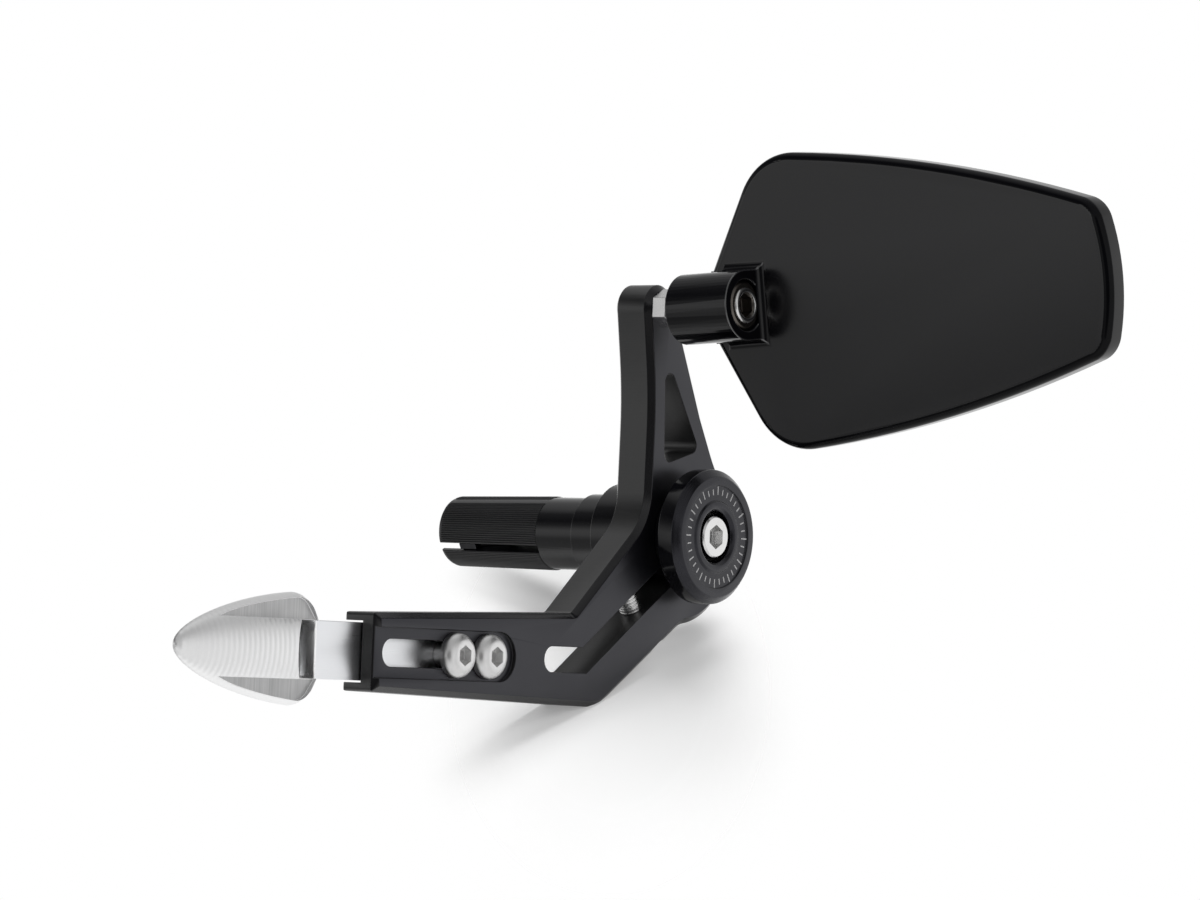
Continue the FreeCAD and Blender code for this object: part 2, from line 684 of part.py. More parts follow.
def pinch_screw():
    item = turned("pinch_screw", [
        ("-pinch_head_height", "0"),
        ("-pinch_head_height", "pinch_head_radius - edge_break"),
        ("edge_break - pinch_head_height", "pinch_head_radius"),
        ("0", "pinch_head_radius"),
        ("0", "pinch_radius"),
        ("pinch_length - edge_break", "pinch_radius"),
        ("pinch_length", "pinch_radius - edge_break"),
        ("pinch_length", "0"),
    ])
    socket(item, "-pinch_head_height", "pinch_socket", "socket_depth", outward=False)
    base, direction = pinch_frame("-pinch_seat")
    item.Placement = FreeCAD.Placement(base, FreeCAD.Rotation(X_AXIS, direction))
    return item


# Guard tip, drawn forward along its own X and placed on the guard's centre line

def tip_ramp():
    """Hollowed wedge that takes the rib down to the shank."""
    top, floor = size("tip_width"), size("shank_width") / 2
    start = V(size("ramp_start"), 0, size("tip_width") / 2)
    end = V(size("ramp_end"), 0, floor)
    fall = (end - start).normalize()
    middle = (start + end) * 0.5 - V(-fall.z, 0, fall.x).normalize() * -size("ramp_hollow")
    behind = size("tip_back") - size("tip_rim")
    edges = [
        Part.Arc(start, middle, end).toShape(),
        Part.makeLine(end, V(behind, 0, floor)),
        Part.makeLine(V(behind, 0, floor), V(behind, 0, top)),
        Part.makeLine(V(behind, 0, top), V(start.x, 0, top)),
        Part.makeLine(V(start.x, 0, top), start),
    ]
    wedge = Part.Face(Part.Wire(edges)).extrude(V(0, size("tip_height"), 0))
    wedge.translate(V(0, -size("tip_height") / 2, 0))
    return wedge


def tip_side(inset):
    """Upper half of the tip's side view, or the same drawn in from its outline."""
    half = size("tip_height") / 2
    neck = size("shank_height") / 2
    nose, shoulder = size("tip_nose") - inset, size("tip_shoulder")
    top = half - inset
    flank = Part.BezierCurve()
    flank.setPoles([
        V(nose, 0, 0),
        V(nose, size("nose_fullness"), 0),
        V(shoulder + size("flank_run"), top - size("flank_fall"), 0),
        V(shoulder, top, 0),
    ])
    slant = math.atan2(half - neck, size("tip_corner") - size("tip_back"))
    radius = (shoulder - size("tip_corner")) / math.tan(slant / 2)
    centre = V(shoulder, half - radius, 0)

    def on_corner(angle):
        return centre + V(-math.sin(angle), math.cos(angle), 0) * (radius - inset)
    leave = on_corner(slant)
    foot = leave.x - (leave.y - neck) / math.tan(slant)
    edges = [
        flank.toShape(),
        Part.Arc(V(shoulder, top, 0), on_corner(slant / 2), leave).toShape(),
        Part.makeLine(leave, V(foot, neck, 0)),
        Part.makeLine(V(foot, neck, 0), V(foot, 0, 0)),
        Part.makeLine(V(foot, 0, 0), V(nose, 0, 0)),
    ]
    return Part.Face(Part.Wire(edges))


def guard_tip():
    """Spear of oval section with a rib between sunk pockets, on a flat shank."""
    half = size("tip_height") / 2
    nose, back = size("tip_nose"), size("tip_back")
    neck = size("shank_height") / 2
    flatten = FreeCAD.Matrix()
    flatten.scale(1, 1, size("tip_width") / size("tip_height"))
    quarter = tip_side(0).revolve(V(0, 0, 0), X_AXIS, 90).transformGeometry(flatten)
    beside_rib = Part.makeBox(nose - back, half, size("tip_width"), V(back, neck, size("tip_wing_width") / 2))
    pocket = tip_side(size("tip_rim")).extrude(V(0, 0, size("tip_width"))).common(beside_rib)

    def slab(start, end, high, wide):
        return Part.makeBox(end - start, high, wide, V(start, -high / 2, -wide / 2))
    ramp = tip_ramp().common(slab(0, nose, 2 * neck, 2 * half))
    solid = quarter.cut(pocket).cut(ramp)
    for axis in (Z_AXIS, Y_AXIS):
        solid = solid.fuse(solid.mirror(V(0, 0, 0), axis))
    tail = value(SCREW_REAR) - size("shank_tail")
    solid = solid.fuse(slab(tail, size("tip_corner"), 2 * neck, size("shank_width")))
    for place in (size("screw_front"), value(SCREW_REAR)):
        bore = Part.makeCylinder(value("bolt_radius + thread_fit"), half, V(place, 0, -half / 2))
        solid = solid.cut(bore)
    item = doc.addObject("Part::Feature", "guard_tip")
    item.Shape = solid.Solids[0]
    turn = FreeCAD.Rotation(V(0, -1, 0), Z_AXIS, V(-1, 0, 0), "XYZ")
    middle_x = value("arm_start + channel_depth - shank_room - shank_width / 2")
    item.Placement = FreeCAD.Placement(V(middle_x, 0, -size("guard_drop")), turn)
    subparts.append(item)
    return item


def tip_screw(label, forward):
    item = turned(label, [
        ("-button_length", "0"),
        ("-button_length", "bolt_radius - edge_break"),
        ("edge_break - button_length", "bolt_radius"),
        ("0", "bolt_radius"),
        ("0", "button_radius"),
        ("button_height", "button_radius"),
        ("button_height", "0"),
    ])
    face = size("button_height")
    round_edges(item, "Fillet", face_outline(item.Shape, X_AXIS, face), "button_round")
    socket(item, "button_height", "button_socket", "button_depth")
    seat = value(f"{ARM_END} - recess_depth + face_room")
    item.Placement = FreeCAD.Placement(V(seat, -value(forward), -size("guard_drop")), FreeCAD.Rotation())
    return item


# Ball stud, nut and cups

BALL = V(size("ball_place"), -size("stud_forward"), size("stud_height"))


def ball_stud():
    tail = f"{ARM_END} - stud_grip - ball_place"
    item = turned("ball_stud", [
        (tail, "0"),
        (tail, "bolt_radius - edge_break"),
        (f"{tail} + edge_break", "bolt_radius"),
        ("-neck_length", "bolt_radius"),
        ("-neck_length + edge_break", "neck_radius"),
        ("-ball_radius / 2", "neck_radius"),
        ("-ball_radius / 2", "0"),
    ])
    ball = item.newObject("PartDesign::AdditiveSphere", "ball_stud_ball")
    ball.setExpression("Radius", named("ball_radius"))
    doc.recompute()
    item.Placement = FreeCAD.Placement(BALL, FreeCAD.Rotation())
    return item


def stud_nut():
    item = body("stud_nut")
    flats = hexagon(sketch_on(item, SIDE, ARM_END), "nut_flats")
    feature(item, "Pad", flats, Length="nut_width")
    outer = face_outline(item.Shape, X_AXIS, value(f"{ARM_END} + nut_width"))
    round_edges(item, "Chamfer", outer, "edge_break")
    bore = ring(sketch_on(item, SIDE, f"{ARM_END} + nut_width"), "0", "0", "bolt_radius + thread_fit")
    cut(item, bore, Type="ThroughAll")
    item.Placement = FreeCAD.Placement(V(0, BALL.y, BALL.z), FreeCAD.Rotation())
    return item


def cup(label, side):
    """Ring with a spherical seat, on one side of the ball."""
    outer = doc.addObject("Part::Sphere", f"{label}_outside")
    outer.setExpression("Radius", named("cup_radius"))
    outer.setExpression("Angle1", named("asin(cup_gap / cup_radius)"))
    outer.setExpression("Angle2", named("asin(cup_reach / cup_radius)"))
    inner = doc.addObject("Part::Sphere", f"{label}_inside")
    inner.setExpression("Radius", named("ball_radius + cup_room"))
    item = doc.addObject("Part::Cut", label)
    item.Base = outer
    item.Tool = inner
    item.Placement = FreeCAD.Placement(BALL, FreeCAD.Rotation(Z_AXIS, V(side, 0, 0)))
    doc.recompute()
    subparts.append(item)
    return item


# Mirror, drawn in its own frame and placed on the ball

MIRROR_PLACE = FreeCAD.Placement(
    BALL,
    FreeCAD.Rotation(X_AXIS, size("mirror_tilt")).multiply(FreeCAD.Rotation(Y_AXIS, -size("mirror_roll"))),
)
GLASS_SIDE = "-(back_drop + plate_width)"


def corner_shift(arriving, leaving):
    """How a corner moves when both of its edges move inwards by one."""
    first = V(-arriving.y, arriving.x, 0).normalize()
    second = V(-leaving.y, leaving.x, 0).normalize()
    return (first + second) * (1 / (1 + first.dot(second)))


def bowed(start, end, radius):
    """Directions in which a bowed edge leaves its start and reaches its end."""
    chord = end - start
    swing = math.degrees(math.asin(chord.Length / (2 * radius)))
    return (FreeCAD.Rotation(Z_AXIS, -swing).multVec(chord), FreeCAD.Rotation(Z_AXIS, swing).multVec(chord))


def mirror_outline(inset="0"):
    """Corners of the mirror's outline, moved inwards by an inset."""
    near = V(size("plate_left"), -size("plate_left_half"), 0)
    wide = V(size("shoulder_along"), -size("shoulder_half"), 0)
    far = V(size("far_along"), -size("far_half"), 0)
    long_start, long_end = bowed(wide, far, size("long_edge_radius"))
    far_start = bowed(far, V(far.x, -far.y, 0), size("far_edge_radius"))[0]
    moves = [
        ("plate_left", "plate_left_half", corner_shift(V(0, -1, 0), wide - near), None),
        ("shoulder_along", "shoulder_half", corner_shift(wide - near, long_start), "long_edge_radius"),
        ("far_along", "far_half", corner_shift(long_end, far_start), "far_edge_radius"),
    ]
    lower = []
    for along, half, shift, bow in moves:
        place = (f"{along} + {shift.x} * ({inset})", f"{half} - {shift.y} * ({inset})")
        lower.append((place[0], place[1], f"{bow} - ({inset})" if bow else None))
    corners = []
    for along, half, bow in lower:
        corners.append((along, f"-({half})") + ((bow,) if bow else ()))
    bows = [lower[1][2], None, None]
    for (along, half, _), bow in zip(reversed(lower), bows):
        corners.append((along, half) + ((bow,) if bow else ()))
    return corners


def mirror_plate(item, lift, width, inset="0"):
    """Plate with the mirror's outline and rounded corners."""
    corners = mirror_outline(inset)
    profile = outline(sketch_on(item, FRONT, lift), corners)
    feature(item, "Pad", profile, Length=width)
    places = [V(value(corner[0]), 0, value(corner[1])) for corner in corners]
    wide = edges_along(item.Shape, Y_AXIS, places[1], places[4])
    round_edges(item, "Fillet", wide, f"shoulder_round - ({inset})")
    far = edges_along(item.Shape, Y_AXIS, places[2], places[3])
    round_edges(item, "Fillet", far, f"far_round - ({inset})")


def mirror_body():
    item = body("mirror_body")
    mirror_plate(item, GLASS_SIDE, "plate_width")
    back = size("back_drop")
    round_edges(item, "Fillet", face_outline(item.Shape, Y_AXIS, back), "rim_round")
    length = "housing_start + housing_end"
    barrel = ring(sketch_on(item, SIDE, "-housing_start"), "0", "0", "housing_radius")
    feature(item, "Pad", barrel, Length=length)
    web = outline(sketch_on(item, SIDE, "web_start"), [
        ("0", "-housing_radius"),
        ("back_drop + rim_round", "-housing_radius"),
        ("back_drop + rim_round", "housing_radius"),
        ("0", "housing_radius"),
    ])
    feature(item, "Pad", web, Length="housing_end - web_start")

    def at_foot(edge):
        ends = [vertex.Point for vertex in edge.Vertexes]
        on_back = all(abs(end.y - back) < TOUCH for end in ends)
        return on_back and all(abs(abs(end.z) - size("housing_radius")) < TOUCH for end in ends)
    round_edges(item, "Fillet", edges_where(item.Shape, at_foot), "foot_round")
    socket_section = outline(sketch_on(item, SECTION), [
        ("-housing_start", "0"),
        ("housing_end", "0"),
        ("housing_end", "socket_radius"),
        ("-socket_seat_place", "socket_radius"),
        ("-socket_lip_place", "socket_lip"),
        ("-housing_start", "socket_mouth"),
    ])
    feature(item, "Groove", socket_section, ReferenceAxis=(socket_section, ["H_Axis"]), Angle=360.0)
    bed = body("glass_bed", kept=False)
    mirror_plate(bed, GLASS_SIDE, "glass_sink + glass_width + pad_width", "glass_rim")
    sink = item.newObject("PartDesign::Boolean", "mirror_body_bed")
    sink.setObjects([bed])
    sink.Type = "Cut"
    doc.recompute()
    item.Placement = MIRROR_PLACE
    return item


def adjuster_screw():
    radius = "socket_radius - adjuster_room"
    face = "housing_end - adjuster_sink"
    item = turned("adjuster_screw", [
        (f"{face} - adjuster_length", "0"),
        (f"{face} - adjuster_length", f"{radius} - edge_break"),
        (f"{face} - adjuster_length + edge_break", radius),
        (f"{face} - adjuster_bevel", radius),
        (face, f"{radius} - adjuster_bevel"),
        (face, "0"),
    ])
    socket(item, face, "adjuster_socket", "socket_depth")
    item.Placement = MIRROR_PLACE
    return item


def glass_layer(label, depth, width):
    item = body(label)
    mirror_plate(item, f"{GLASS_SIDE} + {depth}", width, "glass_rim + glass_room")
    item.Placement = MIRROR_PLACE
    return item


expander_sleeve()
expander_cone()
expander_bolt()
seat_ring()
clamp_spacer()
hub_weight()
bolt_washer()
guard_arm()
pinch_screw()
guard_tip()
tip_screw("tip_screw_front", "screw_front")
tip_screw("tip_screw_rear", SCREW_REAR)
ball_stud()
stud_nut()
cup("front_cup", -1)
cup("rear_cup", 1)
mirror_body()
adjuster_screw()
glass_layer("mirror_glass", "glass_sink", "glass_width")
glass_layer("glass_pad", "glass_sink + glass_width", "pad_width")

doc.recompute()
os.makedirs("parts", exist_ok=True)
for item in doc.Objects:
    if "Invalid" in item.State or "Error" in item.State:
        raise RuntimeError(f"{item.Name} did not build")
for item in subparts:
    if item.Shape.isNull() or not item.Shape.isValid():
        raise RuntimeError(f"{item.Label} has no sound shape")
    item.Shape.exportStep(f"parts/{item.Label}.step")
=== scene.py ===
import math

import bmesh
import bpy
from mathutils import Matrix, Vector


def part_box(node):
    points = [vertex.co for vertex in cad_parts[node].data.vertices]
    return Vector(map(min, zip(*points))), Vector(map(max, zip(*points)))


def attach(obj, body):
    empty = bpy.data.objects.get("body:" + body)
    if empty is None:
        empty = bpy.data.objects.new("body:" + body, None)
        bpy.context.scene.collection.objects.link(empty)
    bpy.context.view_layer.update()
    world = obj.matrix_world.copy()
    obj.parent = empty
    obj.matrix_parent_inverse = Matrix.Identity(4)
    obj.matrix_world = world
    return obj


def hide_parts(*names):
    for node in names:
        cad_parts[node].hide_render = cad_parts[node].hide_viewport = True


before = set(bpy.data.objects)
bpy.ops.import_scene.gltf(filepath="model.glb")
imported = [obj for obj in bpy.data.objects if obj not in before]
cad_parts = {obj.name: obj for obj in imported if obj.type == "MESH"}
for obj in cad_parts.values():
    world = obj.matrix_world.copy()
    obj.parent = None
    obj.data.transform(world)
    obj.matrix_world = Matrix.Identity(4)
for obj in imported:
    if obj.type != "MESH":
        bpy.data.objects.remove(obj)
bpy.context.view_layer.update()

scene = bpy.context.scene
MM = 0.001

# Node trees

FIRST_SHADE, SECOND_SHADE, MIXED_SHADE = 6, 7, 2


class Signal:
    """An output socket of a node tree; arithmetic on it adds Math nodes."""

    def __init__(self, bench, socket):
        self.bench = bench
        self.socket = socket

    def maths(self, operation, *terms):
        return self.bench.node("ShaderNodeMath", {"operation": operation}, dict(enumerate(terms)))

    def __add__(self, other):
        return self.maths("ADD", self, other)

    __radd__ = __add__

    def __sub__(self, other):
        return self.maths("SUBTRACT", self, other)

    def __rsub__(self, other):
        return self.maths("SUBTRACT", other, self)

    def __mul__(self, other):
        return self.maths("MULTIPLY", self, other)

    __rmul__ = __mul__

    def __truediv__(self, other):
        return self.maths("DIVIDE", self, other)

    def __rtruediv__(self, other):
        return self.maths("DIVIDE", other, self)

    def __pow__(self, other):
        return self.maths("POWER", self, other)

    def __mod__(self, other):
        return self.maths("MODULO", self, other)

    def floor(self):
        return self.maths("FLOOR", self)

    def sine(self):
        return self.maths("SINE", self)

    def cosine(self):
        return self.maths("COSINE", self)

    def larger(self, other):
        return self.maths("MAXIMUM", self, other)

    def smaller(self, other):
        return self.maths("MINIMUM", self, other)


class Bench:
    """Builds one node tree."""

    def __init__(self, tree):
        self.tree = tree

    def join(self, socket, given):
        if isinstance(given, Signal):
            self.tree.links.new(given.socket, socket)
        else:
            socket.default_value = given

    def node(self, kind, settings=None, sockets=None, output=0):
        """A new node, given back as one of its outputs where it has any."""
        made = self.tree.nodes.new(kind)
        for name, setting in (settings or {}).items():
            setattr(made, name, setting)
        for name, given in (sockets or {}).items():
            self.join(made.inputs[name], given)
        return Signal(self, made.outputs[output]) if made.outputs else made

    def outputs(self, signal, *names):
        sockets = signal.socket.node.outputs
        return [Signal(self, sockets[name]) for name in names]

    def vector(self, **parts):
        return self.node("ShaderNodeCombineXYZ", sockets=parts)

    def mix(self, amount, first, second, blend="MIX"):
        """Colour between two, each a signal or its red, green and blue."""
        shades = [shade if isinstance(shade, Signal) else (*shade, 1) for shade in (first, second)]
        return self.node("ShaderNodeMix", {"data_type": "RGBA", "blend_type": blend}, {
            "Factor": amount, FIRST_SHADE: shades[0], SECOND_SHADE: shades[1],
        }, MIXED_SHADE)

    def ease(self, amount, start, end, first=0.0, last=1.0):
        """Smooth change from first to last while the amount goes from start to end."""
        return self.node("ShaderNodeMapRange", {"interpolation_type": "SMOOTHSTEP"}, {
            "Value": amount, "From Min": start, "From Max": end, "To Min": first, "To Max": last,
        })

    def greys(self, amount, stops):
        """Grey level read from a ramp of places and levels."""
        ramp = self.node("ShaderNodeValToRGB", sockets={"Fac": amount})
        levels = ramp.socket.node.color_ramp.elements
        while len(levels) < len(stops):
            levels.new(1)
        for level, (place, grey) in zip(levels, stops):
            level.position = place
            level.color = (grey, grey, grey, 1)
        return ramp

    def ray_kinds(self):
        """Whether a ray comes straight from the camera, and whether it comes by gloss or through glass."""
        path = self.node("ShaderNodeLightPath")
        camera = self.outputs(path, "Is Camera Ray")[0]
        glossy, through = self.outputs(path, "Is Glossy Ray", "Is Transmission Ray")
        return camera, glossy.larger(through)


class Finish(Bench):
    """A surface finish on the piece's own coordinates, centred and turned where the pattern needs it."""

    def __init__(self, name, centre=(0, 0, 0), turn=(0, 0, 0)):
        self.material = bpy.data.materials.new(name)
        self.material.use_nodes = True
        super().__init__(self.material.node_tree)
        self.surface = self.tree.nodes["Principled BSDF"]
        place = self.node("ShaderNodeTexCoord", output="Object")
        self.place = self.node("ShaderNodeMapping", {"vector_type": "TEXTURE"}, {
            "Vector": place,
            "Location": Vector(centre) * MM,
            "Rotation": [math.radians(angle) for angle in turn],
        })

    def set(self, **sockets):
        for name, given in sockets.items():
            self.join(self.surface.inputs[name.replace("_", " ")], given)

    def axes(self):
        split = self.node("ShaderNodeSeparateXYZ", sockets={"Vector": self.place})
        return self.outputs(split, "X", "Y", "Z")

    def grain(self, cells, detail, place=None):
        """Noise from 0 to 1 whose cells have these sizes in millimetres."""
        stretched = self.node("ShaderNodeMapping", {"vector_type": "POINT"}, {
            "Vector": place or self.place,
            "Scale": [1 / (cell * MM) for cell in cells],
        })
        return self.node("ShaderNodeTexNoise", {"noise_dimensions": "3D"}, {
            "Vector": stretched, "Scale": 1.0, "Detail": detail, "Roughness": 0.6,
        })

    def even_grain(self, size, detail):
        return self.grain((size, size, size), detail)

    def rings(self, pitch):
        """Fine marks left by turning about the local X axis."""
        x, y, z = self.axes()
        radius = (y * y + z * z) ** 0.5
        return self.grain((pitch, pitch, 1), 2, self.vector(X=x, Y=radius))

    def bump(self, height, depth):
        """Normal raised by a height from 0 to 1 over a depth in millimetres."""
        return self.node("ShaderNodeBump", sockets={
            "Height": height, "Distance": depth * MM, "Strength": 1.0,
        })


# Finishes

BLACK_DEEP, BLACK_WORN = (0.0020, 0.0020, 0.0028), (0.0054, 0.0054, 0.0070)
# Painted highlight on broken edges, from near black to dark grey
HIGHLIGHT_DARK, HIGHLIGHT_LIGHT = (0.004, 0.004, 0.005), (0.03, 0.03, 0.033)
SILVER_DARK, SILVER_LIGHT = (0.88, 0.88, 0.885), (0.98, 0.98, 0.98)
STEEL_DARK, STEEL_LIGHT = (0.67, 0.668, 0.665), (0.89, 0.888, 0.885)
ZINC_DARK, ZINC_LIGHT = (0.03, 0.03, 0.032), (0.075, 0.075, 0.08)
NYLON_DARK, NYLON_LIGHT = (0.011, 0.011, 0.012), (0.02, 0.02, 0.021)
GLASS_DARK, GLASS_LIGHT = (0.60, 0.635, 0.665), (0.66, 0.69, 0.715)
FOAM_DARK, FOAM_LIGHT = (0.02, 0.02, 0.02), (0.045, 0.045, 0.045)
INK_DARK, INK_LIGHT = (0.74, 0.74, 0.74), (0.86, 0.86, 0.86)
BLACK, WHITE = (0, 0, 0), (1, 1, 1)
MILL_STEP, MILL_DEPTH = 1.45, 0.07


def milled_black(name, cells, light=BLACK_WORN, depth=0.006, gloss=0.27, ior=1.5, tint=WHITE):
    """Black anodised plate with fine milling lines."""
    finish = Finish(name)
    lines = finish.grain(cells, 4)
    cloud = finish.even_grain(14, 2)
    finish.set(
        Base_Color=finish.mix(lines * 0.6 + cloud * 0.4, BLACK_DEEP, light),
        Roughness=gloss + 0.12 * lines + 0.05 * cloud,
        Normal=finish.bump(lines, depth),
        IOR=ior,
        Specular_Tint=(*tint, 1),
    )
    return finish.material


def turned_black(name, centre=(0, 0, 0), turn=(0, 0, 0), pitch=0.22, gloss=0.2, ior=1.5, tint=WHITE):
    """Black anodised turned part with faint turning marks."""
    finish = Finish(name, centre, turn)
    marks = finish.rings(pitch)
    cloud = finish.even_grain(9, 2)
    finish.set(
        Base_Color=finish.mix(marks * 0.5 + cloud * 0.5, BLACK_DEEP, BLACK_WORN),
        Roughness=gloss + 0.08 * marks + 0.05 * cloud,
        Normal=finish.bump(marks, 0.0025),
        IOR=ior,
        Specular_Tint=(*tint, 1),
    )
    return finish.material


def painted_edge_highlight(name):
    """Painted highlight: black anodising coloured lighter, in mottled patches, along a broken edge."""
    finish = Finish(name)
    highlight_mottle = finish.even_grain(2.5, 4)
    finish.set(
        Base_Color=finish.mix(highlight_mottle, HIGHLIGHT_DARK, HIGHLIGHT_LIGHT),
        Roughness=0.14 + 0.16 * highlight_mottle,
        IOR=2.1,
    )
    return finish.material


def ringed_silver(name):
    """Bare aluminium with the steps of the ball mill across it."""
    finish = Finish(name)
    along = finish.axes()[1]
    steps = 0.5 + 0.5 * (along * (math.tau / (MILL_STEP * MM))).sine()
    fine = finish.grain((40, 0.17, 40), 2)
    cloud = finish.even_grain(6, 2)
    finish.set(
        Base_Color=finish.mix(fine * 0.6 + cloud * 0.4, SILVER_DARK, SILVER_LIGHT),
        Metallic=1.0,
        Roughness=0.36 + 0.12 * fine,
        Normal=finish.bump(steps * 0.8 + fine * 0.2, MILL_DEPTH),
    )
    return finish.material


def brushed_silver(name, cells, dark=SILVER_DARK, light=SILVER_LIGHT, dull=0.24, depth=0.003):
    """Bare aluminium with straight cutter lines."""
    finish = Finish(name)
    lines = finish.grain(cells, 3)
    cloud = finish.even_grain(7, 2)
    finish.set(
        Base_Color=finish.mix(lines * 0.7 + cloud * 0.3, dark, light),
        Metallic=1.0,
        Roughness=dull * (1 + 0.5 * lines),
        Normal=finish.bump(lines, depth),
    )
    return finish.material


def stainless(name, centre=(0, 0, 0), dark=STEEL_DARK, light=STEEL_LIGHT, dull=0.17):
    """Stainless fastener with turning marks about an axis through its centre."""
    finish = Finish(name, centre)
    marks = finish.rings(0.12)
    cloud = finish.even_grain(3, 3)
    finish.set(
        Base_Color=finish.mix(marks * 0.4 + cloud * 0.6, dark, light),
        Metallic=1.0,
        Roughness=dull + 0.12 * marks + 0.06 * cloud,
        Normal=finish.bump(marks, 0.004),
    )
    return finish.material


def zinc_steel(name):
    """Zinc-plated steel, coloured dark grey, a little cloudy."""
    finish = Finish(name)
    cloud = finish.even_grain(2.2, 4)
    marks = finish.rings(0.2)
    finish.set(
        Base_Color=finish.mix(cloud, ZINC_DARK, ZINC_LIGHT),
        Metallic=1.0,
        Roughness=0.3 + 0.14 * cloud,
        Normal=finish.bump(marks, 0.006),
    )
    return finish.material


def moulded_nylon(name):
    """Dark moulded nylon with a fine grain."""
    finish = Finish(name)
    grain = finish.even_grain(0.35, 3)
    finish.set(
        Base_Color=finish.mix(grain, NYLON_DARK, NYLON_LIGHT),
        Roughness=0.42 + 0.15 * grain,
        Normal=finish.bump(grain, 0.02),
    )
    return finish.material


def silvered_glass(name):
    """Front-silvered mirror glass with a trace of haze."""
    finish = Finish(name)
    haze = finish.even_grain(18, 2)
    finish.set(
        Base_Color=finish.mix(haze, GLASS_DARK, GLASS_LIGHT),
        Metallic=1.0,
        Roughness=0.012 + 0.02 * haze,
    )
    return finish.material


def foam_pad(name):
    """Closed-cell foam behind the glass."""
    finish = Finish(name)
    cells = finish.even_grain(0.4, 3)
    finish.set(
        Base_Color=finish.mix(cells, FOAM_DARK, FOAM_LIGHT),
        Roughness=0.8 + 0.15 * cells,
        Normal=finish.bump(cells, 0.05),
    )
    return finish.material


def white_ink(name):
    """Matt white printing."""
    finish = Finish(name)
    print_grain = finish.even_grain(0.25, 2)
    finish.set(
        Base_Color=finish.mix(print_grain, INK_DARK, INK_LIGHT),
        Roughness=0.5 + 0.15 * print_grain,
    )
    return finish.material


# Solid pieces with broken edges

SMOOTH_ANGLE = math.radians(32)
FLAT_ANGLE = math.radians(0.2)
WELD = 0.001 * MM
LARGEST_BREAK = 1.0
EDGE_SEGMENTS = 3
RING_STEPS = 48


def settle(piece, body, slot, *nodes):
    """Seats a finished piece on its body."""
    if piece.name not in scene.collection.objects:
        scene.collection.objects.link(piece)
    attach(piece, body)
    if nodes:
        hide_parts(*nodes)


def smooth_skin(mesh):
    for face in mesh.polygons:
        face.use_smooth = True
    mesh.set_sharp_from_angle(angle=SMOOTH_ANGLE)


def applied_mesh(carrier):
    """The carrier's mesh with its modifiers worked in."""
    return bpy.data.meshes.new_from_object(carrier.evaluated_get(bpy.context.evaluated_depsgraph_get()))


def clean_copy(node, finishes, edge, breaks, trimmed):
    """The solid as one closed skin with whole flat faces, its sharp edges broken by edge or breaks."""
    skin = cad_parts[node].data.copy()
    skin.materials.clear()
    for finish in finishes:
        skin.materials.append(finish)
    work = bmesh.new()
    work.from_mesh(skin)
    bmesh.ops.remove_doubles(work, verts=work.verts, dist=WELD)
    bmesh.ops.dissolve_limit(work, angle_limit=FLAT_ANGLE, verts=work.verts, edges=work.edges)
    broken = work.edges.layers.float.new("bevel_weight_edge")
    for line in work.edges:
        if line.is_manifold and line.calc_face_angle() > SMOOTH_ANGLE:
            ends = [vertex.co / MM for vertex in line.verts]
            line[broken] = (breaks(*ends) if breaks else edge) / LARGEST_BREAK
    work.to_mesh(skin)
    work.free()
    raw = bpy.data.objects.new(node + "_raw", skin)
    scene.collection.objects.link(raw)
    if edge:
        bevel = raw.modifiers.new("edge", "BEVEL")
        bevel.width = LARGEST_BREAK * MM
        bevel.segments = EDGE_SEGMENTS
        bevel.material = len(finishes) - 1 if trimmed else -1
        bevel.limit_method = "WEIGHT"
        bevel.use_clamp_overlap = False
        bevel.harden_normals = True
    smooth_skin(skin)
    mesh = applied_mesh(raw)
    bpy.data.objects.remove(raw)
    return mesh


def machined(node, body, slot, finishes, edge, choose=None, breaks=None, trim=None):
    """A piece from its solid; choose names the finish of a face, trim is that of the broken edges, where
    given a painted highlight.
    """
    mesh = clean_copy(node, finishes + [trim] if trim else finishes, edge, breaks, trim is not None)
    for face in mesh.polygons:
        if choose and face.material_index < len(finishes):
            face.material_index = finishes.index(choose(face.center / MM, face.normal))
    settle(bpy.data.objects.new(node + "_machined", mesh), body, slot, node)


def turned_ring(name, profile, seat, finish):
    """A ring turned round the seat's X axis from a closed profile of lengths and radii in millimetres."""
    count = len(profile)
    points, faces = [], []
    for step in range(RING_STEPS):
        turn = math.tau * step / RING_STEPS
        here, there = step * count, (step + 1) % RING_STEPS * count
        for corner, (along, radius) in enumerate(profile):
            after = (corner + 1) % count
            points.append((along * MM, radius * MM * math.cos(turn), radius * MM * math.sin(turn)))
            faces.append((there + corner, there + after, here + after, here + corner))
    mesh = bpy.data.meshes.new(name)
    mesh.from_pydata(points, [], faces)
    mesh.transform(seat)
    mesh.materials.append(finish)
    smooth_skin(mesh)
    return bpy.data.objects.new(name, mesh)


# Repeated details

FINGERS, RIB_SIDES = 4, 4
THREAD_STEPS, THREAD_SIDES = 40, 6
LONG_TICK_EVERY, LONG_TICK_EXTRA = 3, 0.8


